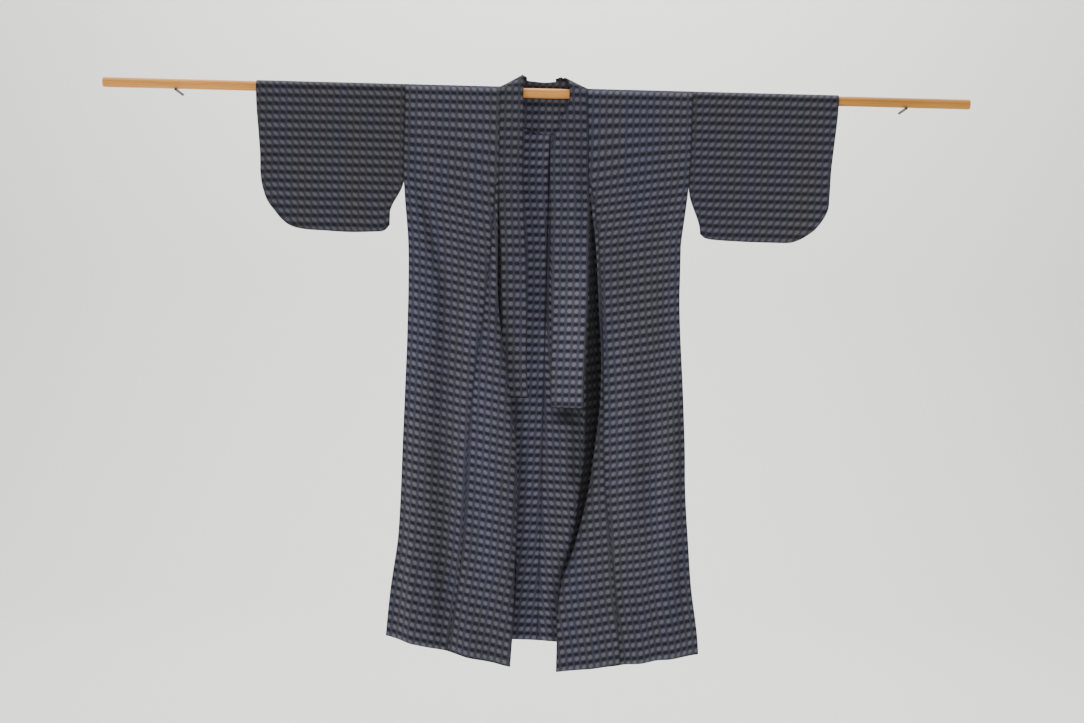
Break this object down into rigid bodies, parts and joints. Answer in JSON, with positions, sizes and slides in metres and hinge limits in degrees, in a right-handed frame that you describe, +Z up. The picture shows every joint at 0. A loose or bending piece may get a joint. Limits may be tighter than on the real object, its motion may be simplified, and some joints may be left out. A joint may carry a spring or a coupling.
{
  "type": "unlined kimono robe on a hanging rod",
  "caption": "Short-sleeved cotton kimono robe hung open over a wooden rod that rests on wall pegs.",
  "frame": {"origin": "on the rod's axis, midway between the two sleeve seams, where the robe hangs", "axes": "+X along the rod to the right as seen from the front, +Y towards the wall, +Z up"},
  "size_m": [1.934, 0.0974, 1.3271],
  "materials": {
    "rod": "satin",
    "peg_left": "dark iron",
    "peg_right": "dark iron",
    "body_left": "matt woven cotton",
    "body_right": "matt woven cotton",
    "okumi_left": "matt woven cotton",
    "okumi_right": "matt woven cotton",
    "sleeve_left": "matt woven cotton",
    "sleeve_right": "matt woven cotton",
    "collar": "matt woven cotton"
  },
  "bodies": {
    "root": {"rod": "rod", "peg_left": "peg_left", "peg_right": "peg_right", "body_left": "body_left", "body_right": "body_right", "okumi_left": "okumi_left", "okumi_right": "okumi_right", "sleeve_left": "sleeve_left", "sleeve_right": "sleeve_right", "collar": "collar"}
  },
  "joints": []
}
